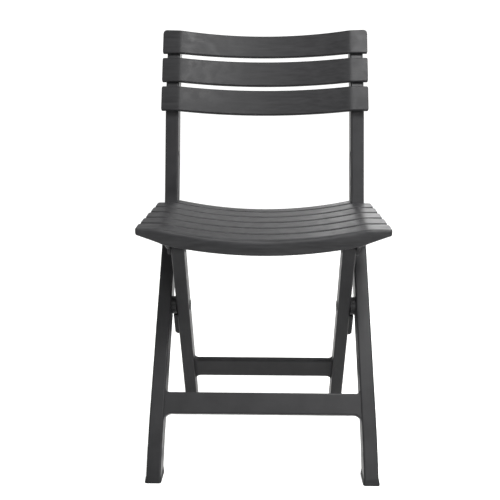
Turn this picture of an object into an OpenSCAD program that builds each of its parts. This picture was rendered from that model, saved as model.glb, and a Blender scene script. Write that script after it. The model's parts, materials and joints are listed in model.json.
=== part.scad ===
// Slatted folding chair in moulded plastic.
// +X is the chair's left-to-right direction, the chair faces -Y and +Z is up.
// The origin is on the floor, midway between the front feet and the top of the back.
// Side views are worked out in a plane of (back, up) pairs, in millimetres. A heading is
// an angle from straight up, positive when it leans to the back of the chair.

/* [Frame] */
// Width over the two side members at the floor
frame_w = 408; // [330:1:500]
// Lean of each side member towards the middle, in degrees
member_lean = 0.5; // [0:0.1:1.0]
// Height of the top slat's upper edge
overall_h = 786.5; // [720:0.5:950]
// Width of a side member across the chair
member_w = 26; // [22:1:32]
// Depth of a side member in the side view
member_d = 40; // [34:1:46]
// Heading of the side member at the floor
foot_heading = 22; // [18:1:34]
// Heading of the straight front leg
leg_heading = 36.5; // [34:0.5:38]
// Heading of the straight stile above the seat
stile_heading = 10.5; // [6:0.5:14]
// Heading of the backrest
rest_heading = 23; // [16:1:28]
// Height of the foot pads
pad_h = 10; // [6:1:14]

/* [Back slats] */
// Distance that a back slat stands out past each stile
back_slat_overhang = 9; // [4:1:16]
// Height of a back slat
back_slat_h = 51; // [38:0.5:56]
// Gap between two back slats
back_slat_gap = 9.5; // [8:0.5:20]
// Thickness of a back slat
back_slat_t = 8; // [5:0.5:12]
// How far a back slat bows to the back at its middle
back_bow = 24; // [10:1:34]

/* [Rear legs] */
// Height of the pivot where the legs cross
pivot_h = 266; // [240:1:290]
// Lean of the rear leg, from vertical
rear_leg_lean = 28; // [24:0.5:30]
// Width of a rear leg across the chair
rear_leg_w = 24; // [18:1:28]
// Depth of a rear leg in the side view
rear_leg_d = 34; // [28:1:38]
// Radius of the pivot pin
pivot_pin_r = 6; // [4:0.5:8]
// Radius of the boss between the two legs
boss_r = 17; // [14:0.5:20]

/* [Crossbars] */
// Distance from the pivot to the front crossbar
front_bar_reach = 194; // [160:1:200]
// Height of the front crossbar
front_bar_h = 39; // [30:1:46]
// Distance from the pivot to the rear crossbar
rear_bar_reach = 178; // [150:1:195]
// Height of the rear crossbar
rear_bar_h = 47; // [30:1:50]
// Thickness of both crossbars
bar_t = 12; // [8:1:14]
// Radius of the gussets where a crossbar meets the legs
gusset_r = 14; // [6:1:18]

/* [Seat] */
// Height of the seat's front edge at its ends
seat_h = 442; // [430:1:455]
// Distance that the seat stands out past each side member at the front
seat_overhang = 16; // [8:1:24]
// How much narrower each end of the seat is at the back than at the front
seat_taper = 11; // [0:1:16]
// Rise of the seat from front to back, in degrees
seat_rise = 2.5; // [0:0.5:3]
// Front-to-back size of a long slat
seat_slat_w = 43.6; // [38:0.1:44]
// Front-to-back size of the short slat between the side members
short_slat_w = 30; // [22:1:32]
// Gap between two seat slats
seat_slat_gap = 3; // [2:0.5:5]
// Thickness of a seat slat
seat_slat_t = 7; // [5:0.5:9]
// Dip of the seat at its middle
seat_dip = 20; // [8:1:26]
// Width of the flat zone at each end of the seat's front edge
seat_flat_w = 41; // [36:1:70]
// Depth of the rolled front lip, from the seat's top
lip_d = 28; // [16:1:31]
// Thickness of the front lip
lip_t = 7; // [5:1:9]
// Depth of the front lip at the seat's corners
lip_end_d = 10; // [7:1:14]

/* [Seat hinge and slide] */
// Distance from the seat's top down to the line through its hinge and slide pins
pin_drop = 52; // [50:1:58]
// Distance from the seat's front edge back to the line over its hinge pin
hinge_setback = 70; // [66:1:74]
// Thickness of a seat rail across the chair
rail_w = 6.5; // [5:0.5:8]
// Radius of the rail's ends round their pins
rail_end_r = 12; // [10:0.5:14]
// Radius of the hinge and slide pins
seat_pin_r = 5; // [3:0.5:6]
// Depth of the slide groove in the side member
groove_d = 8; // [5:0.5:12]
// Running clearance at a sliding or hinged side face
side_gap = 0.6; // [0.5:0.1:1.2]
// Radial clearance of a pin in its bore
pin_fit = 0.05; // [0.02:0.01:0.1]
// Clearance of the slide pin in its groove, on each side
groove_fit = 0.5; // [0.4:0.1:1]
// Angle through which the legs fold
fold_angle = 54; // [40:1:55]
// Heading of the seat when the chair is folded
folded_seat_heading = 26.5; // [25:0.5:29]

/* [Hidden] */
$fn = 64;

anthracite = "#3d3e40";
dark_grey = "#2c2d2f";
far = 1500;
eps = 0.01;
// How far a piece or a cut runs past a face that it is trimmed to.
past = 1;

// ---- side view of the outer frame ----
function ahead(h) = [sin(h), cos(h)];
function behind(h) = [cos(h), -sin(h)];

// Points and headings along runs of [length, turn], a straight run having no turn.
arc_step = 2;
function on_arc(p, s, t) =
    s[1] == 0 ? concat([for (i = [0, 1]) p[i] + s[0] * t * ahead(p[2])[i]], p[2])
    : let (k = s[1] * PI / 180 / s[0], h = p[2] + s[1] * t)
      [p[0] + (cos(p[2]) - cos(h)) / k, p[1] + (sin(h) - sin(p[2])) / k, h];
function trace(p, runs) =
    len(runs) == 0 ? [p]
    : let (s = runs[0], n = s[1] == 0 ? 1 : ceil(abs(s[1]) / arc_step))
      concat([for (k = [0 : n - 1]) on_arc(p, s, k / n)],
             trace(on_arc(p, s, 1), [for (i = [1 : 1 : len(runs) - 1]) runs[i]]));

// The front face of the side member, from the floor up.
foot_arc = 120;
leg_run = 383;
seat_arc = 65.5;
stile_run = 144.4;
rest_arc = 75;
lower_runs = [[foot_arc, leg_heading - foot_heading], [leg_run, 0],
              [seat_arc, stile_heading - leg_heading], [stile_run, 0],
              [rest_arc, rest_heading - stile_heading]];
lower_front = trace([0, 0, foot_heading], lower_runs);
rest_foot = lower_front[len(lower_front) - 1];
// The stile stops this far below the top slat's upper edge.
top_clear = 4;
rest_run = (overall_h - rest_foot[1]) / cos(rest_heading) - top_clear;
leg_foot = on_arc([0, 0, foot_heading], lower_runs[0], 1);

// A point on the front face of the straight leg at height z.
function leg_front(z) = leg_foot[0] + (z - leg_foot[1]) * tan(leg_heading);
function leg_middle(z) = leg_front(z) + member_d / 2 / cos(leg_heading);
// A point on the front face of the straight backrest, at a distance below its upper end.
rest_top = on_arc(rest_foot, [rest_run + top_clear, 0], 1);
function rest_point(drop) = on_arc(rest_top, [-drop, 0], 1);

// ---- places across the chair ----
function member_out(z) = frame_w / 2 - z * tan(member_lean);
function member_in(z) = member_out(z) - member_w / cos(member_lean);
seat_half_w = frame_w / 2 + seat_overhang;

// ---- pivots ----
pivot = [leg_middle(pivot_h), pivot_h];
hinge_z = seat_h - pin_drop + hinge_setback * sin(seat_rise);
hinge_arm = (hinge_z - pivot_h) / cos(rear_leg_lean);
hinge = pivot + hinge_arm * ahead(-rear_leg_lean);
// The slide pin is where the seat's pin line meets the middle of the straight leg.
seat_heading = 90 - seat_rise;
slide_arm = (leg_middle(hinge[1]) - hinge[0])
    / (sin(seat_heading) - cos(seat_heading) * tan(leg_heading));
seat_turn = seat_heading - folded_seat_heading;

// Rail and rear leg, set inwards of the side member by their running clearances.
slide_top_z = pivot_h + hinge_arm * cos(fold_angle - rear_leg_lean)
    + slide_arm * cos(folded_seat_heading);
rail_out = member_in(slide_top_z) - side_gap;
rail_in = rail_out - rail_w;
rear_leg_out = rail_in - side_gap;
rear_leg_in = rear_leg_out - rear_leg_w;

// The slide pin's path as the chair folds, from 0 (open) to 1 (folded).
function slide_at(t) = pivot + hinge_arm * ahead(t * fold_angle - rear_leg_lean)
    + slide_arm * ahead(seat_heading - t * seat_turn);

// ---- seat frame: s runs to the back along the pin line, n is square to it ----
module on_seat() {
    translate([0, hinge[0], hinge[1]]) rotate([seat_rise, 0, 0]) children();
}
// Slats that run over the full width of the seat. NODES has this many and the short one.
long_slats = 5;
dip_half_span = seat_half_w - seat_flat_w;
seat_front = -hinge_setback;
slat_pitch = seat_slat_w + seat_slat_gap;
seat_back = seat_front + long_slats * slat_pitch + short_slat_w;
dip_r = (pow(dip_half_span, 2) + pow(seat_dip, 2)) / (2 * seat_dip);

// ---- origin ----
pad_flare = 1.5;
back_slat_proud = 7;
front_y = -pad_flare;
slat_back_y = rest_point(0)[0]
    + (back_bow + back_slat_t - back_slat_proud) * cos(rest_heading);
stile_back_y = rest_point(top_clear)[0] + member_d * cos(rest_heading);
back_y = max(slat_back_y, stile_back_y);
origin_y = (front_y + back_y) / 2;
module placed() { translate([0, -origin_y, 0]) children(); }

// ---- helpers ----
// Turns a drawing of the side view into a slab from x = from to x = from + width.
module side_slab(from, width) {
    translate([from, 0, 0]) rotate([90, 0, 90]) linear_extrude(width) children();
}
// A strip of depth d behind a traced line.
module strip(line, d) {
    back = [for (i = [len(line) - 1 : -1 : 0])
        [line[i][0], line[i][1]] + d * behind(line[i][2])];
    polygon(concat([for (p = line) [p[0], p[1]]], back));
}
// Local x runs across, y along the heading and z out of the front face.
module on_face(p, h) { translate([0, p[0], p[1]]) rotate([90 - h, 0, 0]) children(); }
// A cylinder along X between two places.
module across(p, r, x0, x1) {
    translate([x0, p[0], p[1]]) rotate([0, 90, 0]) cylinder(r = r, h = x1 - x0);
}
module leaned() { translate([frame_w / 2, 0, 0]) rotate([0, -member_lean, 0]) children(); }
module below_floor(z) { translate([-far, -far, z - far]) cube([2 * far, 2 * far, far]); }
module both_sides() { children(); mirror([1, 0, 0]) children(); }
// Everything outwards of the side members' inner faces.
module beyond_members() {
    both_sides() leaned() translate([-member_w, -far, -far]) cube([far, 2 * far, 2 * far]);
}
module to_side(side) {
    if (side > 0) children();
    else mirror([1, 0, 0]) children();
}

// ---- outer frame ----
groove_steps = 24;
groove_half = seat_pin_r + groove_fit;
module groove() {
    path = [for (k = [0 : groove_steps]) slide_at(k / groove_steps)];
    function heading_at(k) =
        let (a = path[max(k - 1, 0)], b = path[min(k + 1, groove_steps)])
        atan2(b[0] - a[0], b[1] - a[1]);
    left = [for (k = [0 : groove_steps]) path[k] + groove_half * behind(heading_at(k))];
    right = [for (k = [groove_steps : -1 : 0]) path[k] - groove_half * behind(heading_at(k))];
    groove_out = member_in(slide_top_z) + groove_d;
    side_slab(rail_in, groove_out - rail_in) polygon(concat(left, right));
    for (end = [0, groove_steps]) across(path[end], groove_half, rail_in, groove_out);
}
// Wall that the pivot pin's blind bore leaves at the outer face.
bore_wall = 5;
module side_member(side) {
    color(anthracite) placed() to_side(side) difference() {
        leaned() side_slab(-member_w, member_w)
            strip(trace(on_arc([0, 0, foot_heading], [member_d, 0], -1),
                concat([[member_d, 0]], lower_runs, [[rest_run, 0]])), member_d);
        below_floor(pad_h);
        across(pivot, pivot_pin_r + pin_fit, 0, member_out(pivot_h) - bore_wall);
        groove();
    }
}

module gusseted_bar(half_len, h, t, gusset) {
    linear_extrude(t, center = true) {
        square([2 * half_len, h], center = true);
        for (x = [-1, 1], y = [-1, 1]) scale([x, y]) difference() {
            translate([half_len - gusset, h / 2 - eps]) square([gusset, gusset + eps]);
            translate([half_len - gusset, h / 2 + gusset]) circle(gusset);
        }
    }
}
front_bar_recess = 2;
module front_crossbar() {
    color(anthracite) placed() difference() {
        on_face(pivot - front_bar_reach * ahead(leg_heading), leg_heading)
            translate([0, 0, member_d / 2 - front_bar_recess - bar_t / 2])
            gusseted_bar(member_in(pivot_h - front_bar_reach * cos(leg_heading)) + past,
                front_bar_h, bar_t, gusset_r);
        beyond_members();
    }
}

// A bowed slat: its flat ends lie on the stiles and its middle bows to the back.
crease_gap = 0.5;
slat_crease = member_in(overall_h) - crease_gap;
bow_steps = 16;
bow_r = (pow(slat_crease, 2) + pow(back_bow, 2)) / (2 * back_bow);
function bow_arc(r, from) =
    let (a = asin(slat_crease / r))
    [for (k = [-bow_steps : bow_steps]) let (t = from * a * k / bow_steps)
        [r * sin(t), bow_r - back_bow + back_slat_proud - r * cos(t)]];
module back_slat(drop) {
    end = member_out(overall_h) + back_slat_overhang;
    color(anthracite) placed() on_face(rest_point(drop), rest_point(drop)[2])
        rotate([90, 0, 0]) translate([0, 0, -back_slat_h / 2]) linear_extrude(back_slat_h)
        polygon(concat([[-end, 0], [-end, back_slat_proud]], bow_arc(bow_r, 1),
            [[end, back_slat_proud], [end, 0], [slat_crease, 0]],
            bow_arc(bow_r + back_slat_t, -1), [[-slat_crease, 0]]));
}

module foot(p, h, d, x_in, x_out) {
    // The pad takes in the leg's own outline at the floor and stands out past it all round.
    y0 = p - pad_flare;
    y1 = p + d / cos(h) + pad_flare;
    translate([x_in - pad_flare, y0, 0])
        cube([x_out - x_in + 2 * pad_flare, y1 - y0, pad_h]);
}
module front_foot(side) {
    color(dark_grey) placed() to_side(side)
        foot(0, foot_heading, member_d, member_in(0), member_out(0));
}
lug_half = 11;
stop_gap = 0.3;
tooth_near = lug_half + stop_gap;
tooth_far = boss_r;
tooth_reach = 30;
pin_head_t = 3;
pin_head_r = 10;
module pivot_boss(side) {
    color(anthracite) placed() to_side(side) difference() {
        union() {
            across(pivot, boss_r, rear_leg_out + side_gap, member_in(pivot_h) + past);
            // The tooth behind the stop lug, which ends the opening.
            on_face(pivot, -rear_leg_lean)
                translate([rear_leg_out + side_gap, -tooth_reach, -tooth_far])
                cube([member_in(pivot_h) - rear_leg_out, tooth_reach, tooth_far - tooth_near]);
        }
        beyond_members();
        across(pivot, pivot_pin_r + pin_fit, 0, far);
    }
}
// The pin stops short of its bore's end, and its head stands off the leg.
pin_end_gap = 1;
pin_head_gap = 0.2;
module pivot_pin(side) {
    head_out = rear_leg_in - pin_head_gap;
    pin_out = member_out(pivot_h) - bore_wall - pin_end_gap;
    color(dark_grey) placed() to_side(side) {
        across(pivot, pivot_pin_r, head_out - pin_head_t, pin_out);
        across(pivot, pin_head_r, head_out - pin_head_t, head_out);
    }
}

// ---- rear leg frame ----
module rear_leg(side) {
    leg_len = hinge_arm + pivot_h / cos(rear_leg_lean) + rear_leg_d;
    color(anthracite) placed() to_side(side) difference() {
        union() {
            on_face(hinge, -rear_leg_lean)
                translate([rear_leg_in, -leg_len, -rear_leg_d / 2])
                cube([rear_leg_w, leg_len, rear_leg_d]);
            across(hinge, rear_leg_d / 2, rear_leg_in, rear_leg_out);
        }
        below_floor(pad_h);
        across(pivot, pivot_pin_r + pin_fit, 0, far);
        across(hinge, seat_pin_r + pin_fit, 0, far);
    }
}
module rear_crossbar() {
    color(anthracite) placed()
        on_face(pivot - rear_bar_reach * ahead(-rear_leg_lean), -rear_leg_lean)
        gusseted_bar(rear_leg_in, rear_bar_h, bar_t, gusset_r);
}
module rear_foot(side) {
    y = pivot[0] + pivot_h * tan(rear_leg_lean) - rear_leg_d / 2 / cos(rear_leg_lean);
    color(dark_grey) placed() to_side(side)
        foot(y, rear_leg_lean, rear_leg_d, rear_leg_in, rear_leg_out);
}
lug_top = boss_r + 0.5;
lug_len = 51;
lug_w = 8;
lug_chamfer = 4;
lug_hole_r = 2.5;
lug_hole_up = 11;
module stop_lug(side) {
    color(dark_grey) placed() to_side(side) on_face(pivot, -rear_leg_lean)
        translate([rear_leg_out, -lug_top - lug_len, -lug_half]) difference() {
            linear_extrude(2 * lug_half)
                polygon([[0, 0], [lug_w - lug_chamfer, 0], [lug_w, lug_chamfer],
                         [lug_w, lug_len], [0, lug_len]]);
            across([lug_hole_up, lug_half], lug_hole_r, -past, lug_w + past);
        }
}
hinge_head_r = 8;
module seat_hinge_pin(side) {
    color(dark_grey) placed() to_side(side) {
        across(hinge, seat_pin_r, rear_leg_in - pin_head_t, rail_out - pin_fit);
        across(hinge, hinge_head_r, rear_leg_in - pin_head_t, rear_leg_in);
    }
}

// ---- seat ----
dish_fn = 400;
// Region above a surface that lies a depth below the seat's top, in the (x, n) plane.
module seat_profile(depth) {
    difference() {
        translate([-far / 2, pin_drop - depth - seat_dip - past]) square([far, far]);
        translate([-far / 2, pin_drop - depth - far]) square([far, far]);
    }
    intersection() {
        translate([0, pin_drop - depth - seat_dip + dip_r]) circle(dip_r, $fn = dish_fn);
        translate([-dip_half_span, pin_drop - depth - seat_dip - past])
            square([2 * dip_half_span, seat_dip + 2 * past]);
    }
}
// Extrudes an (x, n) drawing along s.
module along_seat(s0, s1) {
    translate([0, s1, 0]) rotate([90, 0, 0]) linear_extrude(s1 - s0) children();
}
// The seat's plan, tapering to the back.
module seat_plan() {
    back_half = seat_half_w - seat_taper;
    long_back = seat_front + long_slats * slat_pitch;
    linear_extrude(far, center = true)
        polygon([[-seat_half_w, seat_front], [seat_half_w, seat_front],
                 [back_half, long_back], [-back_half, long_back]]);
}
module seat_band(s0, s1, depth) {
    along_seat(s0, s1) difference() {
        seat_profile(depth);
        seat_profile(0);
    }
}
// Slat 1 is the short one at the back, and the highest number is the front edge.
module seat_slat(number) {
    color(anthracite) placed() on_seat()
        if (number == 1) {
            half = rail_out;
            s0 = seat_front + long_slats * slat_pitch;
            intersection() {
                seat_band(s0, s0 + short_slat_w, seat_slat_t);
                translate([-half, -far, -far]) cube([2 * half, 2 * far, 2 * far]);
            }
        } else {
            s0 = seat_front + (long_slats + 1 - number) * slat_pitch;
            intersection() {
                seat_plan();
                union() {
                    seat_band(s0, s0 + seat_slat_w, seat_slat_t);
                    if (number == long_slats + 1) front_lip();
                }
            }
        }
}
// The lip hangs from the front slat. From a little inside the crease it gets shallower
// towards the seat's corners.
lip_slope_in = 6;
module front_lip() {
    difference() {
        seat_band(seat_front, seat_front + lip_t, lip_d);
        both_sides() along_seat(seat_front - past, seat_front + lip_t + past)
            polygon([[dip_half_span - lip_slope_in, pin_drop - lip_d - past],
                     [seat_half_w + past, pin_drop - lip_end_d],
                     [seat_half_w + past, pin_drop - lip_d - past]]);
    }
}

rail_front = seat_front + lip_t;
rail_back_d = 14;
module seat_rail(side) {
    slide = [slide_arm, 0];
    color(anthracite) placed() on_seat() to_side(side) difference() {
        side_slab(rail_in, rail_w) {
            polygon([[rail_front, pin_drop], [rail_front, pin_drop - lip_d],
                     [-rail_end_r, 0], [slide_arm + rail_end_r, 0],
                     [seat_back, pin_drop - rail_back_d], [seat_back, pin_drop]]);
            circle(rail_end_r);
            translate(slide) circle(rail_end_r);
        }
        along_seat(-far, far) seat_profile(seat_slat_t);
        across([0, 0], seat_pin_r + pin_fit, 0, far);
        across(slide, seat_pin_r + pin_fit, 0, far);
    }
}
rib_w = 5;
rib_d = 15;
rib_x = 66;
rib_end_gap = 2;
module seat_rib(x) {
    color(dark_grey) placed() on_seat() intersection() {
        along_seat(seat_front + lip_t, seat_back - rib_end_gap) difference() {
            seat_profile(seat_slat_t + rib_d);
            seat_profile(seat_slat_t);
        }
        translate([x - rib_w / 2, -far, -far]) cube([rib_w, 2 * far, 2 * far]);
    }
}
module slide_pin(side) {
    head_in = rail_in - pin_head_t;
    color(dark_grey) placed() on_seat() to_side(side) {
        across([slide_arm, 0], seat_pin_r, head_in,
            member_in(slide_top_z) + groove_d - side_gap);
        across([slide_arm, 0], hinge_head_r, head_in, rail_in);
    }
}

back_step = back_slat_h + back_slat_gap;
side_member(-1);  // side_member_left
side_member(1);  // side_member_right
front_crossbar();
back_slat(back_slat_h / 2);  // back_slat_top
back_slat(back_slat_h / 2 + back_step);  // back_slat_middle
back_slat(back_slat_h / 2 + 2 * back_step);  // back_slat_bottom
front_foot(-1);  // front_foot_left
front_foot(1);  // front_foot_right
pivot_boss(-1);  // pivot_boss_left
pivot_boss(1);  // pivot_boss_right
pivot_pin(-1);  // pivot_pin_left
pivot_pin(1);  // pivot_pin_right
rear_leg(-1);  // rear_leg_left
rear_leg(1);  // rear_leg_right
rear_crossbar();
rear_foot(-1);  // rear_foot_left
rear_foot(1);  // rear_foot_right
stop_lug(-1);  // stop_lug_left
stop_lug(1);  // stop_lug_right
seat_hinge_pin(-1);  // seat_hinge_pin_left
seat_hinge_pin(1);  // seat_hinge_pin_right
seat_slat(1);  // seat_slat_1
seat_slat(2);  // seat_slat_2
seat_slat(3);  // seat_slat_3
seat_slat(4);  // seat_slat_4
seat_slat(5);  // seat_slat_5
seat_slat(6);  // seat_slat_6
seat_rail(-1);  // seat_rail_left
seat_rail(1);  // seat_rail_right
seat_rib(-rib_x);  // seat_rib_left
seat_rib(0);  // seat_rib_centre
seat_rib(rib_x);  // seat_rib_right
slide_pin(-1);  // slide_pin_left
slide_pin(1);  // slide_pin_right
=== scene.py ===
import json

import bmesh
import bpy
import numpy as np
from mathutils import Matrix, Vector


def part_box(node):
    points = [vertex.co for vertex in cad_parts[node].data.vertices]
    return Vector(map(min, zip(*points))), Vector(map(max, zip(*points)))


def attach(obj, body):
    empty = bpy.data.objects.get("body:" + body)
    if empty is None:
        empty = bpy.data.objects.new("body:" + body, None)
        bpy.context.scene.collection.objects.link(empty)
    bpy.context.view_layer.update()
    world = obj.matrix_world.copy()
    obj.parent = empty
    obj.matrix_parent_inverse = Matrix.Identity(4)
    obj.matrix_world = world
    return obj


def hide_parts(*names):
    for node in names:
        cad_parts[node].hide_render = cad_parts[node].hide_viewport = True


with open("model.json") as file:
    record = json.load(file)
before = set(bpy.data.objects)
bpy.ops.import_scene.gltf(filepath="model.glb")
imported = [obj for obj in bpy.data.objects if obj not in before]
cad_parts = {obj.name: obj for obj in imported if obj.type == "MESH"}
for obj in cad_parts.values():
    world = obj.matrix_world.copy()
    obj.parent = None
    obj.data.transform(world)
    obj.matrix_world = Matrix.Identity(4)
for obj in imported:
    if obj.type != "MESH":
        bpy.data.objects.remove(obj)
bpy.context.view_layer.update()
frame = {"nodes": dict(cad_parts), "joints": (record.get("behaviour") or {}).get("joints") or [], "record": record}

# %% [markdown]
# # A slatted folding chair
# This lesson puts the looks on a folding chair that a CAD model has already sized. The chair is
# moulded in one plastic: a bent frame with a bowed, slatted back, a pair of crossed rear legs and
# a dished, slatted seat. The CAD gives flat, hard-edged solids in the right places, and each step
# below rebuilds one kind of piece with the soft edges and curves that come out of a mould.

MM = 0.001
record = frame["record"]
body_of = {n: body for body, nodes in record["behaviour"]["bodies"].items() for n in nodes}
slot_of = {row["node"]: row["material_slot"] for row in record["subparts"]}
joint_at = {j["name"]: np.array(j["pos_m"]) for j in frame["joints"]}

# %% [markdown]
# ## The camera
# The chair is seen from the front, a little above the seat and very nearly on its centre plane.
# A camera could be aimed by a constraint at a target, but a plain place and turn are easier to
# read and give the same picture in every run. The lens is a short telephoto, so the back looks
# only slightly narrower than the seat.

# %% Place the camera
camera_data = bpy.data.cameras.new("front_camera")
camera_data.sensor_width = 36
camera_data.lens = 56.0
camera = bpy.data.objects.new("front_camera", camera_data)
camera.location = (0.009, -1.4554, 0.6958)
camera.rotation_euler = np.radians((90 - 12.562, 0, 1.381))
bpy.context.scene.collection.objects.link(camera)
bpy.context.scene.camera = camera
print("lens, mm:", camera_data.lens)

# %% [markdown]
# ## One way to make every moulded piece
# A moulded bar or slat is one outline carried along a path, and the outline may grow, shrink or
# bend on its way. So every piece here is a block of rings: an array of stations, points and
# coordinates, worked out all at once. One function turns the block into a mesh. It closes both
# ends, and it measures the volume: a negative one means that the faces point inwards, and they
# are turned round. That makes left and right pieces safe to make from one formula.

# %% Turn rings of points into a closed mesh
SHARP = np.radians(38)


def mesh_of_rings(name, rings):
    """Closed mesh through rings[station, point, xyz].

    Face (i, j) joins points j and j + 1 of rings i and i + 1, and one face closes each end.
    Volume is a sixth of the sum of a . (b x c) over the triangles of every face.
    """
    stations, points = rings.shape[:2]
    rings = np.ascontiguousarray(rings, dtype=float)
    index = np.arange(stations * points).reshape(stations, points)
    after = np.roll(index, -1, axis=1)
    quads = np.stack([index[:-1], after[:-1], after[1:], index[1:]], axis=-1).reshape(-1, 4)
    flat = rings.reshape(-1, 3)
    a, b, c, d = (flat[quads[:, k]] for k in range(4))
    volume = (a * (np.cross(b, c) + np.cross(c, d))).sum() / 6
    for cap, sign in ((rings[0], -1), (rings[-1], 1)):
        volume += sign * (cap[0] * np.cross(cap[1:-1], cap[2:])).sum() / 6
    start, end = index[0][::-1], index[-1]
    if volume < 0:
        quads, start, end = quads[:, ::-1], start[::-1], end[::-1]
    mesh = bpy.data.meshes.new(name)
    mesh.from_pydata(flat.tolist(), [], quads.tolist() + [start.tolist(), end.tolist()])
    mesh.polygons.foreach_set("use_smooth", np.ones(len(mesh.polygons), dtype=bool))
    mesh.set_sharp_from_angle(angle=SHARP)
    mesh.update()
    return mesh


def linked(name, mesh):
    """An object at the origin that holds the mesh, in the scene."""
    piece = bpy.data.objects.new(name, mesh)
    bpy.context.scene.collection.objects.link(piece)
    return piece


# %% [markdown]
# ## The outline of a bar
# Every bar and slat is a rectangle with round corners. Four arcs alone would shade badly, because
# a smooth-shaded flat takes its tilt from the arcs beside it. So each arc sits between two points
# a short way along the flats, which hold the flats flat. A Bevel modifier would do this too, but
# here the width and depth may change from station to station.

# %% Draw rectangles with round corners
def rounded_outline(width, depth, radius, steps=5, hold=0.5 * MM):
    """Outlines [station, point, 2] of rectangles about the origin, anticlockwise.

    Corner k is an arc of the radius from k to k + 1 quarter turns about a centre that lies the
    radius inside both sides. width, depth and radius are one number or one per station.
    """
    width, depth, radius = np.broadcast_arrays(*map(np.atleast_1d, (width, depth, radius)))
    width, depth, radius = (v[:, None, None].astype(float) for v in (width, depth, radius))
    quarter = (np.arange(4) * np.pi / 2)[None, :, None]
    turn = quarter + np.linspace(0, np.pi / 2, steps + 1)[None, None, :]
    x = (width / 2 - radius) * np.sign(np.cos(quarter + np.pi / 4)) + radius * np.cos(turn)
    y = (depth / 2 - radius) * np.sign(np.sin(quarter + np.pi / 4)) + radius * np.sin(turn)
    x = np.concatenate([x[..., :1] + hold * np.sin(quarter), x,
                        x[..., -1:] - hold * np.cos(quarter)], axis=-1)
    y = np.concatenate([y[..., :1] - hold * np.cos(quarter), y,
                        y[..., -1:] - hold * np.sin(quarter)], axis=-1)
    return np.stack([x, y], axis=-1).reshape(len(width), -1, 2)


def corner_drop(x, end, radius):
    """How far a round corner of the radius has dropped at x, on a piece that ends at end."""
    into = np.clip(np.abs(x) - (end - radius), 0, radius)
    return radius - np.sqrt(radius**2 - into**2)


print("points in an outline:", rounded_outline(1, 1, 0.1).shape[1])

# %% [markdown]
# ## The side view of the bent frame
# Each side of the chair is one member: a front leg that curves in at the foot, a bend beside the
# seat and a second bend into the backrest. Its front face is a line that is followed like a road,
# by its length and its heading. The heading changes evenly along each bend, so adding up small
# steps gives every point. The CAD model draws the same road.

# %% Follow the front face from the floor to the top
run_lengths = np.array([120, 383, 65.5, 144.4, 75]) * MM
headings_at_ends = np.radians([22, 36.5, 36.5, 10.5, 10.5, 23])
chair_height = 786.5 * MM
stile_stop = 4 * MM
rest_heading = headings_at_ends[-1]
foot_flare = 1.5 * MM
front_foot_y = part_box("front_foot_right")[0].y + foot_flare

road_knots = np.concatenate([[0], np.cumsum(run_lengths)])
road_s = np.linspace(0, road_knots[-1], 6000)
road_heading = np.interp(road_s, road_knots, headings_at_ends)
step_heading = (road_heading[1:] + road_heading[:-1]) / 2
step = np.diff(road_s)
road_y = front_foot_y + np.concatenate([[0], np.cumsum(np.sin(step_heading) * step)])
road_z = np.concatenate([[0], np.cumsum(np.cos(step_heading) * step)])
rest_length = (chair_height - road_z[-1]) / np.cos(rest_heading)


def road(s):
    """(y, z, heading) of the front face at distance s. The last run goes on straight."""
    past = np.clip(s - road_knots[-1], 0, None)
    heading = np.interp(s, road_s, road_heading)
    return (np.interp(s, road_s, road_y) + past * np.sin(rest_heading),
            np.interp(s, road_s, road_z) + past * np.cos(rest_heading), heading)


print("front face, mm:", round((road_knots[-1] + rest_length) / MM, 1))

# %% [markdown]
# ## Side members
# A side member is a rounded bar, 26 mm across and 40 mm deep, carried along that road. The whole
# bar leans in by half a degree, so the chair is narrower at the top. At the bottom the last ring
# slides along the leg onto the top of the foot pad, which gives a level cut.

# %% Carry the bar along the road
member_w, member_d = 26 * MM, 40 * MM
member_edge = 3.2 * MM
half_frame = 204 * MM
lean = np.radians(0.5)
pad_h = 10 * MM


def leaned(across, y, z, side):
    """Tips the side member inwards about its outer edge at the floor."""
    x = half_frame + across * np.cos(lean) - z * np.sin(lean)
    return np.stack([side * x, y, across * np.sin(lean) + z * np.cos(lean)], axis=-1)


first_ring, ring_step, top_round, top_radius = np.array([33, 6, 3, 2]) * MM


def side_member_rings(side):
    """Rings of the outline at each s: point = road(s) + depth * (cos h, -sin h)."""
    end = road_knots[-1] + rest_length - stile_stop
    s = np.concatenate([np.arange(first_ring, end - top_round - 2 * MM, ring_step),
                        end - top_round * (1 - np.sin(np.linspace(0, np.pi / 2, 6)))])
    shrink = 2 * corner_drop(s, end, top_radius)
    outline = rounded_outline(member_w - shrink, member_d - shrink, member_edge - shrink / 2)
    across = outline[..., 0] - member_w / 2
    depth = outline[..., 1] + member_d / 2
    y, z, heading = (v[:, None] for v in road(s))
    y, z = y + depth * np.cos(heading), z - depth * np.sin(heading)
    cut = (z[:1] - pad_h) / np.cos(heading[:1])
    y = np.concatenate([y[:1] - cut * np.sin(heading[:1]), y])
    z = np.concatenate([np.full_like(z[:1], pad_h), z])
    return leaned(np.concatenate([across[:1], across]), y, z, side)


print("rings in a side member:", len(side_member_rings(1)))

# %% [markdown]
# ## The slide groove
# A pin at the back of the seat runs in a groove in the inner face of each side member. The groove
# follows the pin's own path while the chair folds, and that path is the tip of two arms: the
# rear leg above its pivot, and the seat behind its hinge. A cutter of that shape is taken out of
# the member with a Boolean modifier, which is then applied, because a groove is easier to cut
# than to draw into the outline.

# %% Cut the groove along the pin's path
fold_angle, seat_heading, seat_turn = np.radians([54, 87.5, 61])
rear_lean = np.radians(28)
groove_half = 5.5 * MM
groove_depth = 8 * MM
pivot, hinge = joint_at["leg_fold"], joint_at["seat_hinge"]
hinge_arm = np.hypot(*(hinge - pivot)[1:])
slide_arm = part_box("slide_pin_right")[0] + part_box("slide_pin_right")[1]
slide_arm = np.hypot(slide_arm.y / 2 - hinge[1], slide_arm.z / 2 - hinge[2])


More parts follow.
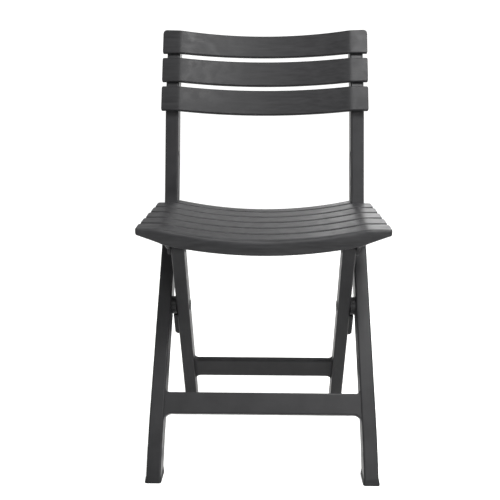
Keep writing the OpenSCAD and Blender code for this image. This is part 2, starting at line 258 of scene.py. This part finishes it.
def groove_rings(side):
    """Rings along pivot + hinge_arm * dir(54t - 28) + slide_arm * dir(87.5 - 61t), t up to 1."""
    t = np.linspace(0, 1, 40)
    leg, seat = t * fold_angle - rear_lean, seat_heading - t * seat_turn
    y = pivot[1] + hinge_arm * np.sin(leg) + slide_arm * np.sin(seat)
    z = pivot[2] + hinge_arm * np.cos(leg) + slide_arm * np.cos(seat)
    heading = np.arctan2(np.gradient(y), np.gradient(z))
    bend = np.linspace(0, np.pi / 2, 7)[:-1]
    y = np.concatenate([y[0] - groove_half * np.cos(bend) * np.sin(heading[0]), y,
                        y[-1] + groove_half * np.cos(bend[::-1]) * np.sin(heading[-1])])
    z = np.concatenate([z[0] - groove_half * np.cos(bend) * np.cos(heading[0]), z,
                        z[-1] + groove_half * np.cos(bend[::-1]) * np.cos(heading[-1])])
    half = groove_half * np.concatenate([np.sin(bend), np.ones(len(t)), np.sin(bend[::-1])])
    half = np.maximum(half, 0.3 * MM)
    heading = np.concatenate([np.full(6, heading[0]), heading, np.full(6, heading[-1])])
    inner = -member_w - 4 * MM
    corner = np.array([[inner, -1], [groove_depth - member_w, -1],
                       [groove_depth - member_w, 1], [inner, 1]])
    offset = corner[None, :, 1] * half[:, None]
    y = y[:, None] + offset * np.cos(heading)[:, None]
    z = z[:, None] - offset * np.sin(heading)[:, None]
    return leaned(np.broadcast_to(corner[None, :, 0], y.shape), y, z, side)


def cut_away(piece, cutter):
    """Applies a Boolean that takes the cutter out of the piece, and removes the cutter."""
    modifier = piece.modifiers.new("groove", "BOOLEAN")
    modifier.operation, modifier.solver, modifier.object = "DIFFERENCE", "EXACT", cutter
    graph = bpy.context.evaluated_depsgraph_get()
    cut = bpy.data.meshes.new_from_object(piece.evaluated_get(graph))
    piece.modifiers.clear()
    cut.name, piece.data = piece.data.name, cut
    cut.set_sharp_from_angle(angle=SHARP)
    bpy.data.objects.remove(cutter)
    return piece


def side_member(name, side):
    """One side member with its groove."""
    piece = linked(name, mesh_of_rings(name, side_member_rings(side)))
    cutter = linked("groove_cutter", mesh_of_rings("groove_cutter", groove_rings(side)))
    return cut_away(piece, cutter)


print("slide arm, mm:", round(slide_arm / MM, 1))

# %% [markdown]
# ## Plastic with a moulded grain
# All of the chair is polypropylene, coloured right through and moulded against a finely eroded
# steel face. That gives the eye three things: a dark anthracite body colour with faint clouds
# where the colour batch mixed, a satin gloss that is never quite even, and a fine grain that
# breaks up the highlights. Long thin slats also show faint streaks along the way the melt ran,
# and hands and cloths have rubbed the satin a little smoother in patches a few centimetres wide.
# The grain of a real mould is near 0.3 mm. It is drawn at 1.6 mm, so that it shows at all.

# %% Small helpers for nodes and colours
def linear(code):
    """Linear colour of an sRGB hex code.

    c / 12.92 up to 0.04045, and ((c + 0.055) / 1.055) ^ 2.4 above it.
    """
    c = np.array([int(code[k:k + 2], 16) for k in (1, 3, 5)]) / 255
    return (*np.where(c <= 0.04045, c / 12.92, ((c + 0.055) / 1.055) ** 2.4), 1.0)


def add(tree, kind, sockets, **settings):
    """Adds a node. A value in sockets that is an output is linked, and any other is set."""
    made = tree.nodes.new(kind)
    for key, value in settings.items():
        setattr(made, key, value)
    for key, value in sockets.items():
        if isinstance(value, bpy.types.NodeSocket):
            tree.links.new(value, made.inputs[key])
        else:
            made.inputs[key].default_value = value
    return made


# %% Make one moulded plastic
def moulded_plastic(name, dark, light, roughness, grain=1.6 * MM, depth=0.03 * MM,
                    stretch=(1, 1, 1), cloud=45 * MM, gloss_range=0.08, mirror=0.13):
    """Polypropylene: clouds between two body colours, uneven satin gloss and a fine grain.

    stretch is how many times longer the streaks are along each axis than the clouds' width.
    mirror is the specular level: 0.5 is a polished face of this IOR, and an eroded one traps some.
    """
    material = bpy.data.materials.new(name)
    material.use_nodes = True
    tree = material.node_tree
    tree.nodes.clear()
    place = add(tree, "ShaderNodeTexCoord", {}).outputs["Object"]
    along = add(tree, "ShaderNodeMapping", {"Vector": place,
                                            "Scale": [1 / v for v in stretch]}).outputs["Vector"]
    clouds = add(tree, "ShaderNodeTexNoise", {"Vector": along, "Scale": 1 / cloud, "Detail": 5.0,
                                              "Roughness": 0.6}).outputs["Fac"]
    spread = add(tree, "ShaderNodeMapRange", {"Value": clouds, "From Min": 0.35,
                                              "From Max": 0.65}).outputs["Result"]
    body = add(tree, "ShaderNodeMix", {"Factor": spread, 6: linear(dark), 7: linear(light)},
               data_type="RGBA").outputs[2]
    gloss = add(tree, "ShaderNodeMapRange", {"Value": clouds, "From Min": 0.3, "From Max": 0.7,
                                             "To Min": roughness - gloss_range / 2,
                                             "To Max": roughness + gloss_range / 2})
    smears = add(tree, "ShaderNodeTexNoise", {"Vector": place, "Scale": 1 / (38 * MM),
                                              "Detail": 3.0, "Distortion": 1.6}).outputs["Fac"]
    rubbed = add(tree, "ShaderNodeMapRange", {"Value": smears, "From Min": 0.4, "From Max": 0.62,
                                              "To Min": 0.035, "To Max": -0.035}).outputs["Result"]
    uneven = add(tree, "ShaderNodeMath", {0: gloss.outputs["Result"], 1: rubbed},
                 operation="ADD").outputs["Value"]
    pits = add(tree, "ShaderNodeTexNoise", {"Vector": place, "Scale": 1 / grain,
                                            "Detail": 3.0}).outputs["Fac"]
    bump = add(tree, "ShaderNodeBump", {"Height": pits, "Strength": 1.0, "Distance": depth})
    shader = add(tree, "ShaderNodeBsdfPrincipled", {
        "Base Color": body, "Roughness": uneven, "IOR": 1.49,
        "Specular IOR Level": mirror,
        "Normal": bump.outputs["Normal"]})
    add(tree, "ShaderNodeOutputMaterial", {"Surface": shader.outputs["BSDF"]})
    return material


# %% The five finishes, one for each slot of the record
finish = {
    "frame_plastic": moulded_plastic("frame_polypropylene", "#1c1c1d", "#212122", 0.4),
    # The back slats are the frame's own plastic. Their darker body colour and lower specular level are painted
    # shade that dims the backrest.
    "back_slat_plastic": moulded_plastic("back_slat_polypropylene_painted_shade", "#161617", "#1e1e1f", 0.44,
                                         stretch=(9, 1, 1), cloud=6 * MM, mirror=0.1),
    "seat_plastic": moulded_plastic("seat_polypropylene", "#1b1b1c", "#262627", 0.4,
                                    stretch=(9, 1, 1), cloud=5 * MM, gloss_range=0.14),
    "foot_plastic": moulded_plastic("foot_pad_elastomer", "#161617", "#1c1c1d", 0.6),
    "pivot_plastic": moulded_plastic("pivot_acetal", "#171718", "#1c1c1d", 0.36, grain=1.2 * MM),
}
for slot, material in finish.items():
    print("finish:", slot, "->", material.name)


# %% Let a piece stand for its CAD node
def stands_for(piece, node):
    """Gives the piece its finish and body, and hides the CAD node that it replaces."""
    piece.data.materials.clear()
    piece.data.materials.append(finish[slot_of[node]])
    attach(piece, body_of[node])
    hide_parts(node)
    return piece


SIDES = {"left": -1, "right": 1}
for word, side in SIDES.items():
    made = stands_for(side_member(f"bent_member_{word}", side), f"side_member_{word}")
    print(made.name, "faces:", len(made.data.polygons))

# %% [markdown]
# ## Back slats
# Three slats cross the backrest. Their ends lie flat on the stiles, and from a soft crease inside
# each stile they bow to the back to fit a person. The bow is a circle's arc. A soft crease comes
# from a smooth maximum of the bow and zero. Each slat is its cross-section carried from left to
# right, and near its ends the section shrinks, which rounds the corners in front view and takes
# the hard edge off the end.

# %% Stations that crowd where a slat bends or ends
def slat_stations(end, crease, corner):
    """Places across the chair, close together near both creases and both ends."""
    half = np.concatenate([
        np.linspace(0, crease - 9 * MM, 26)[1:],
        np.linspace(crease - 8 * MM, min(crease + 8 * MM, end - corner - 2 * MM), 15),
        np.linspace(crease + 9 * MM, end - corner - MM, 5)
        if end - corner - MM > crease + 9 * MM else [],
        end - corner * (1 - np.sin(np.linspace(0, np.pi / 2, 12)))])
    return np.concatenate([-half[::-1], [0], half])


def soft_bow(x, half_span, depth, softness):
    """Depth of a bow: a circle's sagitta inside the span, fading to nothing at a soft crease."""
    radius = (half_span**2 + depth**2) / (2 * depth)
    bow = depth - radius + np.sqrt(np.clip(radius**2 - x**2, 0, None))
    return (bow + np.sqrt(bow**2 + softness**2)) / 2


def across_chair(x, y, z):
    """Rings from one x for each station and a y and z for each point."""
    return np.stack([np.broadcast_to(x[:, None], y.shape), y, z], axis=-1)


# %% Make the three back slats
slat_overhang, crease_gap = np.array([9, 0.5]) * MM
stile_outer = half_frame - chair_height * np.tan(lean)
slat_end = stile_outer + slat_overhang
slat_crease = stile_outer - member_w - crease_gap
slat_h, slat_gap, slat_t, slat_proud, slat_bow = np.array([51, 9.5, 8, 7, 24]) * MM
rest_top_y, rest_top_z, _ = road(road_knots[-1] + rest_length)


def back_slat(name, number, top_sag, bottom_sag, top_corner, corner=3 * MM, soft=1.6 * MM):
    """Rounded section at each x, its middle set back by the bow, in the backrest's own plane.

    up runs along the backrest and out stands square to its front face.
    """
    x = slat_stations(slat_end, slat_crease, max(top_corner, corner))
    arch = 1 - (x / slat_end) ** 2
    drop = number * (slat_h + slat_gap)
    top = -drop - top_sag * arch - corner_drop(x, slat_end, top_corner)
    bottom = -drop - slat_h - bottom_sag * arch + corner_drop(x, slat_end, corner)
    pillow = corner_drop(x, slat_end, soft)
    thick = np.minimum(slat_t, slat_proud + soft_bow(x, slat_crease, slat_bow, MM)) - 2 * pillow
    outline = rounded_outline(top - bottom - 2 * pillow, thick, 2.4 * MM - 0.6 * pillow)
    up = outline[..., 0] + ((top + bottom) / 2)[:, None]
    front = slat_proud - soft_bow(x, slat_crease, slat_bow, MM) - pillow
    out = outline[..., 1] + (front - thick / 2)[:, None]
    y = rest_top_y + up * np.sin(rest_heading) - out * np.cos(rest_heading)
    z = rest_top_z + up * np.cos(rest_heading) + out * np.sin(rest_heading)
    return linked(name, mesh_of_rings(name, across_chair(x, y, z)))


stands_for(back_slat("bowed_slat_top", 0, 3 * MM, -1.5 * MM, 8 * MM), "back_slat_top")
stands_for(back_slat("bowed_slat_middle", 1, -1 * MM, 0, 3 * MM), "back_slat_middle")
stands_for(back_slat("bowed_slat_bottom", 2, 0, 0.8 * MM, 3 * MM), "back_slat_bottom")
print("back slat length, mm:", round(2 * slat_end / MM, 1))

# %% [markdown]
# ## The seat's slats
# The seat is six slats on two rails. It dips 20 mm in the middle, with flat zones at both ends,
# and each long slat is a little shorter than the one in front of it. As in the back, a section is
# carried across the chair. At each end the back corner is rounder than the front one, so that the
# seat's edge is scalloped. The front slat also rolls over into a lip, deep in the middle and
# shallow at the corners, which stiffens the edge and is kind to the knees. These outlines are
# drawn point by point along arcs, one set for each station.

# %% The seat's own plane
seat_rise = np.radians(2.5)
pin_drop = 52 * MM
seat_front = -70 * MM
seat_half, seat_taper, flat_zone, seat_dip = np.array([220, 11, 41, 20]) * MM
slat_w, short_w, gap, seat_t = np.array([43.6, 30, 3, 7]) * MM
relief = 1.3 * MM
pitch = slat_w + gap
long_back = seat_front + 5 * pitch
slat_edge, crease_soft = np.array([2.2, 1.2]) * MM


def seat_place(x, s, n):
    """Point at s behind the seat's hinge and n above its pin line. The seat rises to the back."""
    y = hinge[1] + s * np.cos(seat_rise) - n * np.sin(seat_rise)
    z = hinge[2] + s * np.sin(seat_rise) + n * np.cos(seat_rise)
    return np.stack(np.broadcast_arrays(x, y, z), axis=-1)


def seat_slat(name, outline, start, width, end, front_corner, back_corner, soft=1.8 * MM):
    """Carries an outline (s from 0 to width, n from 0 down) across the seat and shapes its ends.

    Near an end the front edge of the slat moves back by its corner's drop, the back edge moves
    forward by its own, and n closes on the slat's mid-thickness.
    """
    x = slat_stations(end, seat_half - flat_zone, max(front_corner, back_corner))
    s, n = outline(x)
    pillow = corner_drop(x, end, soft)[:, None]
    front = corner_drop(x, end, front_corner)[:, None] + pillow
    back = corner_drop(x, end, back_corner)[:, None] + pillow
    s = front + s * (1 - (front + back) / width)
    n = -seat_t / 2 + (n + seat_t / 2) * (1 - pillow / (seat_t / 2))
    dip = soft_bow(x, seat_half - flat_zone, seat_dip, crease_soft)[:, None]
    return linked(name, mesh_of_rings(name, seat_place(x[:, None], start + s, pin_drop + n - dip)))


def quarter(centre_s, centre_n, radius, first, last, steps=6, flatten=1):
    """Points on an arc, one row for each station. Angles are in degrees from the back.

    flatten is the arc's height over its radius, for an arc of an ellipse.
    """
    turn = np.radians(np.linspace(first, last, steps + 1))[None]
    return (np.asarray(centre_s)[:, None] + radius[:, None] * np.cos(turn),
            np.asarray(centre_n)[:, None] + flatten * radius[:, None] * np.sin(turn))


def outline_of(arcs, hold=0.6 * MM):
    """Joins arcs into one outline, with a point on the flat top beside the first and the last."""
    s = [arcs[0][0][:, :1] - hold, *[a[0] for a in arcs], arcs[-1][0][:, -1:] + hold]
    n = [arcs[0][1][:, :1], *[a[1] for a in arcs], arcs[-1][1][:, -1:]]
    return np.concatenate(s, axis=1), np.concatenate(n, axis=1)


def plain_slat(width, nose=5 * MM, nose_drop=4.4 * MM):
    """Outline of a flat slat. Its upper front edge is a quarter of an ellipse.

    The draft of the mould makes each gap wider by the relief on both sides.
    """
    def outline(x):
        edge = np.full(len(x), slat_edge)
        long = np.full(len(x), nose)
        return outline_of([
            quarter(width - relief - edge, -edge, edge, 90, 0),
            quarter(width - relief - edge, -seat_t + edge, edge, 0, -90),
            quarter(relief + edge, -seat_t + edge, edge, -90, -180),
            quarter(relief + long, -nose_drop + 0 * long, long, 180, 90, 10,
                    flatten=nose_drop / nose)])
    return outline


# %% The front slat's outline, with its rolled lip
lip_t, lip_deep, lip_shallow, lip_slope_in = np.array([7, 28, 11, 6]) * MM
toe_r, heel_r, fillet_r, roll_r, roll_grows = np.array([3.5, 3.2, 5, 4.5, 7]) * MM


def lipped_slat(x):
    """Back edge, underside, inner fillet, foot of the lip, front face and the roll over the top."""
    one = np.ones(len(x))
    slope = (np.abs(x) - (seat_half - flat_zone - lip_slope_in)) / (flat_zone + lip_slope_in)
    slope = (slope + np.sqrt(slope**2 + 0.01)) / 2
    deep = np.maximum(lip_deep - (lip_deep - lip_shallow) * slope, lip_shallow)
    edge = slat_edge * one
    toe = np.minimum(toe_r, deep - roll_r)
    heel = np.clip((deep - seat_t) / 2, 0.2 * MM, heel_r)
    fillet = np.clip(deep - seat_t - heel - 0.2 * MM, 0.2 * MM, fillet_r)
    roll = np.minimum(roll_r + roll_grows * (1 - (x / seat_half) ** 2), deep - toe - 0.3 * MM)
    arcs = [quarter(slat_w - relief - edge, -edge, edge, 90, 0),
            quarter(slat_w - relief - edge, -seat_t + edge, edge, 0, -90),
            quarter(lip_t + fillet, -seat_t - fillet, fillet, 90, 180),
            quarter(lip_t - heel, -deep + heel, heel, 0, -90),
            quarter(toe, -deep + toe, toe, -90, -180),
            quarter(roll, -roll, roll, 180, 90, steps=10)]
    return outline_of(arcs)


# %% Make the six seat slats
rail_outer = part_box("seat_rail_right")[1].x
for number in range(1, 7):
    start = seat_front + (6 - number) * pitch
    if number == 1:
        piece = seat_slat("seat_slat_short", plain_slat(short_w), start, short_w, rail_outer,
                          2.5 * MM, 4 * MM)
    else:
        reach = seat_half - seat_taper * (start - seat_front) / (long_back - seat_front)
        outline = lipped_slat if number == 6 else plain_slat(slat_w)
        piece = seat_slat(f"seat_slat_long_{number}", outline, start, slat_w, reach,
                          3 * MM, 9 * MM)
    stands_for(piece, f"seat_slat_{number}")
print("seat half width, mm:", round(seat_half / MM), "to", round((seat_half - seat_taper) / MM))

# %% [markdown]
# ## Ribs under the seat
# Three thin ribs run front to back under the slats and tie them together. They show only from
# below and through the gaps, so each is a plain rounded bar that ends softly.

# %% Make the three ribs
rib_w, rib_d, rib_x = np.array([5, 15, 66]) * MM
rib_start, rib_end = seat_front + lip_t, long_back + short_w - 2 * MM


def seat_rib(name, x_middle):
    """Rounded outline (x, n) carried along s, under the seat's dip at this x."""
    half = (rib_end - rib_start) / 2
    bend = 2 * MM * (1 - np.sin(np.linspace(0, np.pi / 2, 6)))
    s = np.concatenate([-half + bend[::-1], np.linspace(-half + 4 * MM, half - 4 * MM, 24),
                        half - bend])
    shrink = 2 * corner_drop(s, half, 1.2 * MM)
    outline = rounded_outline(rib_w - shrink, rib_d - shrink, 1.3 * MM - shrink / 4, hold=0.2 * MM)
    top = pin_drop - seat_t - soft_bow(x_middle, seat_half - flat_zone, seat_dip, crease_soft)
    s = (s + (rib_start + rib_end) / 2)[:, None]
    return linked(name, mesh_of_rings(name, seat_place(
        x_middle + outline[..., 0], s, top + 0.4 * MM - rib_d / 2 + outline[..., 1])))


for word, place in (("left", -rib_x), ("centre", 0), ("right", rib_x)):
    stands_for(seat_rib(f"under_rib_{word}", place), f"seat_rib_{word}")
print("rib length, mm:", round((rib_end - rib_start) / MM))

# %% [markdown]
# ## Crossbars
# A bar ties each pair of legs together. Where it meets a leg it swells into gussets, rounded
# corners that keep the joint from cracking. So the bar's height grows along a quarter circle
# near both ends. Top and bottom gussets may differ.

# %% Make both crossbars
bar_t, bar_inset = np.array([12, 2]) * MM


def crossbar(name, centre, heading, reach, height, top_gusset, bottom_gusset, thick=bar_t):
    """Rounded section carried along X: up = height / 2 + r - sqrt(r^2 - into^2) near each end."""
    half = np.concatenate([np.linspace(0, reach - 20 * MM, 14)[1:],
                           np.linspace(reach - 18 * MM, reach, 22)])
    x = np.concatenate([-half[::-1], [0], half])
    top = height / 2 + corner_drop(x, reach, top_gusset)
    bottom = -height / 2 - corner_drop(x, reach, bottom_gusset)
    outline = rounded_outline(top - bottom, thick, 2.6 * MM)
    up = outline[..., 0] + ((top + bottom) / 2)[:, None]
    y = centre[0] + up * np.sin(heading) - outline[..., 1] * np.cos(heading)
    z = centre[1] + up * np.cos(heading) + outline[..., 1] * np.sin(heading)
    return linked(name, mesh_of_rings(name, across_chair(x, y, z)))


leg_heading = headings_at_ends[1]
front_reach, rear_reach = 194 * MM, 178 * MM
bar_forward = member_d / 2 - bar_inset - bar_t / 2
front_centre = (pivot[1] - front_reach * np.sin(leg_heading) - bar_forward * np.cos(leg_heading),
                pivot[2] - front_reach * np.cos(leg_heading) + bar_forward * np.sin(leg_heading))
rear_centre = (pivot[1] + rear_reach * np.sin(rear_lean), pivot[2] - rear_reach * np.cos(rear_lean))
front_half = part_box("front_crossbar")[1].x
rear_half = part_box("rear_crossbar")[1].x
stands_for(crossbar("front_tie_bar", front_centre, leg_heading, front_half, height=39 * MM,
                    top_gusset=9 * MM, bottom_gusset=14 * MM), "front_crossbar")
stands_for(crossbar("rear_tie_bar", rear_centre, -rear_lean, rear_half, height=47 * MM,
                    top_gusset=9 * MM, bottom_gusset=12 * MM), "rear_crossbar")
print("crossbars, mm:", round(2 * front_half / MM), round(2 * rear_half / MM))

# %% [markdown]
# ## Rear legs
# A rear leg is a straight rounded bar. It runs from its foot, past the pivot, to a round end about
# the seat's hinge pin. Its depth at the round end follows a circle, and its foot is cut level
# by sliding the last ring along the leg, as on the side member.

# %% Make both rear legs
leg_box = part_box("rear_leg_right")
leg_in, leg_out = leg_box[0].x, leg_box[1].x
leg_depth = 34 * MM


def rear_leg(name, side):
    """Rounded outline carried down the line from the hinge: half depth = sqrt(r^2 - t^2) on top."""
    round_r = leg_depth / 2
    long = (hinge[2] - pad_h) / np.cos(rear_lean) - round_r * np.tan(rear_lean) - 2 * MM
    bend = np.linspace(0.12, np.pi / 2, 14)
    t = np.concatenate([-round_r * np.cos(bend), np.linspace(4 * MM, long, 60)])
    half = np.sqrt(round_r**2 - np.clip(-t, 0, None) ** 2)
    outline = rounded_outline(leg_out - leg_in, 2 * half, np.minimum(3 * MM, 0.8 * half),
                              hold=0.3 * MM)
    x = side * ((leg_in + leg_out) / 2 + outline[..., 0])
    y = hinge[1] + t[:, None] * np.sin(rear_lean) + outline[..., 1] * np.cos(rear_lean)
    z = hinge[2] - t[:, None] * np.cos(rear_lean) + outline[..., 1] * np.sin(rear_lean)
    cut = (z[-1:] - pad_h) / np.cos(rear_lean)
    y = np.concatenate([y, y[-1:] + cut * np.sin(rear_lean)])
    z = np.concatenate([z, np.full_like(z[-1:], pad_h)])
    x = np.concatenate([x, x[-1:]])
    return linked(name, mesh_of_rings(name, np.stack([x, y, z], -1)))


for word, side in SIDES.items():
    stands_for(rear_leg(f"crossed_leg_{word}", side), f"rear_leg_{word}")
print("rear leg width, mm:", round((leg_out - leg_in) / MM, 1))

# %% [markdown]
# ## Foot pads
# A softer, darker pad is pressed over the end of every leg. It spreads a little towards the floor,
# so that the leg doesn't dig in. The pad is a stack of rounded outlines that go from the leg's
# own section at the top to the wider tread below, with a small round edge all round the tread.

# %% Make the four pads
def foot_pad(name, node, heading, inner, outer):
    """Outlines from the leg's cut at the top (share 1) to the tread (share 0), against height."""
    low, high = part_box(node)
    share = np.array([0, 0, 0.05, 0.2, 0.45, 0.7, 0.92, 1, 1.0])
    inset = np.array([1.6, 0.5, 0, 0, 0, 0, 0, 0.3, 1.2]) * MM
    z = np.array([0, 0.4, 1.3, 3, 5, 7.2, 9.2, 10, 10.3]) * MM
    front = low.y + share * (pad_h * np.tan(heading) + foot_flare - 0.4 * MM)
    back = high.y + share * (pad_h * np.tan(heading) - foot_flare + 0.4 * MM)
    left = inner - foot_flare * (1 - share) - 0.3 * MM
    right = outer + foot_flare * (1 - share) + 0.3 * MM
    outline = rounded_outline(right - left - 2 * inset, back - front - 2 * inset, 4 * MM)
    x = outline[..., 0] + ((left + right) / 2)[:, None]
    y = outline[..., 1] + ((front + back) / 2)[:, None]
    x = x * (1 if low.x > 0 else -1)
    return linked(name, mesh_of_rings(name, np.stack(np.broadcast_arrays(x, y, z[:, None]), -1)))


for word, side in SIDES.items():
    stands_for(foot_pad(f"front_pad_{word}", f"front_foot_{word}", headings_at_ends[0],
                        half_frame - member_w, half_frame), f"front_foot_{word}")
    stands_for(foot_pad(f"rear_pad_{word}", f"rear_foot_{word}", -rear_lean, leg_in, leg_out),
               f"rear_foot_{word}")

# %% [markdown]
# ## Pins
# Three pairs of pins hold the mechanism: the pivots where the legs cross, the seat's hinges and
# the slides. Each is a round pin with a low domed head, so it is a profile turned about its axis.
# The profile is a row of (along, radius) pairs, and turning it is one outer product.

# %% Turn the six pins
PIN_ANGLES = 48
SHANK_R = {"pivot_pin": 6 * MM, "seat_hinge_pin": 5 * MM, "slide_pin": 5 * MM}
head_t = 3 * MM
# Across the head: share of its radius, and how far its face lies under the outermost plane, mm.
head_face = np.array([[0.05, 1.9], [0.28, 1.9], [0.34, 1.5], [0.5, 1.3], [0.74, 1.4], [0.88, 1.6],
                      [0.96, 1.9], [1.0, 2.3]])


def turned_pin(name, node, side):
    """Profile turned about the pin's axis: y = r cos a, z = r sin a, for evenly spaced angles a."""
    low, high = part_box(node)
    reach = [abs(low.x), abs(high.x)]
    inner, outer = min(reach), max(reach)
    centre = Vector((0, (low.y + high.y) / 2, (low.z + high.z) / 2))
    head_r = (high.z - low.z) / 2
    shank_r = SHANK_R[node.rsplit("_", 1)[0]]
    length = outer - inner
    profile = np.concatenate([
        head_face[:, ::-1] * (MM, head_r),
        [[head_t, head_r], [head_t, shank_r], [length - MM, shank_r], [length, shank_r - MM],
         [length, 0.1 * MM]]])
    angle = np.linspace(0, 2 * np.pi, PIN_ANGLES, endpoint=False)
    x = np.broadcast_to(side * (inner + profile[:, :1]), (len(profile), PIN_ANGLES))
    y = centre.y + profile[:, 1:] * np.cos(angle)
    z = centre.z + profile[:, 1:] * np.sin(angle)
    return linked(name, mesh_of_rings(name, np.stack([x, y, z], -1)))


for kind in ("pivot_pin", "seat_hinge_pin", "slide_pin"):
    for word, side in SIDES.items():
        stands_for(turned_pin(f"headed_{kind}_{word}", f"{kind}_{word}", side), f"{kind}_{word}")

# %% [markdown]
# ## Bosses, stop lugs and seat rails
# These small pieces already have the right shape in the CAD model, and lack only the soft edges
# of a moulding. So each is a merged copy of its CAD mesh. Flat faces are first joined
# up again, and a Bevel modifier then rounds every edge that turns by more than 30 degrees.

# %% Round the edges of CAD pieces
def eased_copy(name, node, width):
    """A merged copy of a CAD node, with its edges rounded by a Bevel modifier."""
    shape = bmesh.new()
    shape.from_mesh(frame["nodes"][node].data)
    bmesh.ops.remove_doubles(shape, verts=shape.verts, dist=0.002 * MM)
    bmesh.ops.dissolve_limit(shape, angle_limit=np.radians(1), verts=shape.verts, edges=shape.edges)
    mesh = bpy.data.meshes.new(name)
    shape.to_mesh(mesh)
    shape.free()
    mesh.polygons.foreach_set("use_smooth", np.ones(len(mesh.polygons), dtype=bool))
    mesh.set_sharp_from_angle(angle=SHARP)
    piece = linked(name, mesh)
    bevel = piece.modifiers.new("eased_edges", "BEVEL")
    bevel.width, bevel.segments = width, 3
    bevel.limit_method, bevel.angle_limit = "ANGLE", np.radians(30)
    bevel.harden_normals = True
    return piece


for kind, width in (("pivot_boss", 0.8 * MM), ("stop_lug", 0.9 * MM), ("seat_rail", 1.0 * MM)):
    for word in SIDES:
        piece = stands_for(eased_copy(f"eased_{kind}_{word}", f"{kind}_{word}", width),
                           f"{kind}_{word}")
        print(piece.name, "faces:", len(piece.data.polygons))

# %% [markdown]
# ## Floor, sweep and light
# The chair stands on a pale acrylic sweep that glows a little, like a light table in a studio,
# and runs up behind it. Dark satin plastic is mostly seen by what it reflects. So the light comes
# from soft panels: one on every side, two small ones at the front on the right, which lift the
# right leg and stile, and a low one behind on the right, which the seat catches at a shallow
# angle. The world is pale at the horizon and dim above it, which keeps the front edges dark.

# %% Glowing sweep under and behind the chair
sweep_back, sweep_r, sweep_half, sweep_top = 4.6, 0.9, 9.0, 1.45
bend = np.linspace(0, np.pi / 2, 24)
sweep_y = np.concatenate([[-9.0], sweep_back - sweep_r + sweep_r * np.sin(bend), [sweep_back]])
sweep_z = np.concatenate([[0], sweep_r - sweep_r * np.cos(bend), [sweep_top]])
sweep_x = np.array([-sweep_half, sweep_half])
grid = np.stack(np.broadcast_arrays(sweep_x[None], sweep_y[:, None], sweep_z[:, None]), -1)
row = np.arange(len(sweep_y) - 1) * 2
sweep_mesh = bpy.data.meshes.new("studio_sweep")
sweep_mesh.from_pydata(grid.reshape(-1, 3).tolist(), [],
                       np.stack([row, row + 1, row + 3, row + 2], -1).tolist())
sweep_mesh.polygons.foreach_set("use_smooth", np.ones(len(row), dtype=bool))
sweep = linked("studio_sweep", sweep_mesh)
acrylic = bpy.data.materials.new("opal_acrylic_sweep")
acrylic.use_nodes = True
opal = acrylic.node_tree.nodes["Principled BSDF"].inputs
opal["Base Color"].default_value = linear("#b8b8b7")
opal["Roughness"].default_value = 0.9
opal["Specular IOR Level"].default_value = 0.0
opal["Emission Color"].default_value = linear("#ffffff")
opal["Emission Strength"].default_value = 0.7
sweep_mesh.materials.append(acrylic)


# %% Soft panels
def soft_panel(name, place, aim, size, power):
    """A rectangular area light at place, facing aim. power is in watts."""
    light = bpy.data.lights.new(name, "AREA")
    light.shape = "RECTANGLE"
    light.size, light.size_y = size
    light.energy = power
    panel = bpy.data.objects.new(name, light)
    panel.location = place
    panel.visible_camera = False
    panel.rotation_euler = (Vector(aim) - Vector(place)).to_track_quat("-Z", "Y").to_euler()
    bpy.context.scene.collection.objects.link(panel)
    return panel


soft_panel("front_panel", (-0.5, -2.2, 2.3), (0, 0, 0.5), (1.6, 1.2), 15)
soft_panel("high_right_panel", (0.45, -0.62, 1.75), (0.2, -0.1, 0.3), (0.4, 0.5), 46)
soft_panel("low_right_panel", (0.62, -1.6, 0.75), (0.17, 0.1, 0.5), (0.3, 0.8), 13)
soft_panel("left_side_panel", (-2.2, 0.3, 1.7), (0, 0, 0.4), (1.6, 1.6), 25)
soft_panel("right_side_panel", (2.2, 0.3, 1.7), (0, 0, 0.4), (1.6, 1.6), 32)
soft_panel("back_panel", (0.4, 2.0, 2.8), (0, 0, 0.5), (1.6, 1.2), 38)
soft_panel("back_right_panel", (0.66, 1.5, 1.05), (0.2, 0, 0.45), (1.1, 0.7), 9)

# %% World that is pale at the horizon and dim above
world = bpy.data.worlds.new("pale_studio")
world.use_nodes = True
sky = world.node_tree
direction = add(sky, "ShaderNodeTexCoord", {}).outputs["Generated"]
height = add(sky, "ShaderNodeSeparateXYZ", {"Vector": direction}).outputs["Z"]
ramp = add(sky, "ShaderNodeValToRGB", {"Fac": height})
stops = ((0.0, 0.9), (0.12, 0.8), (0.24, 0.22), (0.6, 0.4), (1.0, 0.5))
for place, level in stops[1:-1]:
    ramp.color_ramp.elements.new(place)
for element, (place, level) in zip(ramp.color_ramp.elements, stops):
    element.position, element.color = place, (level, level, level, 1)
sky.links.new(ramp.outputs["Color"], sky.nodes["Background"].inputs["Color"])
bpy.context.scene.world = world
bpy.context.scene.view_settings.view_transform = "Standard"
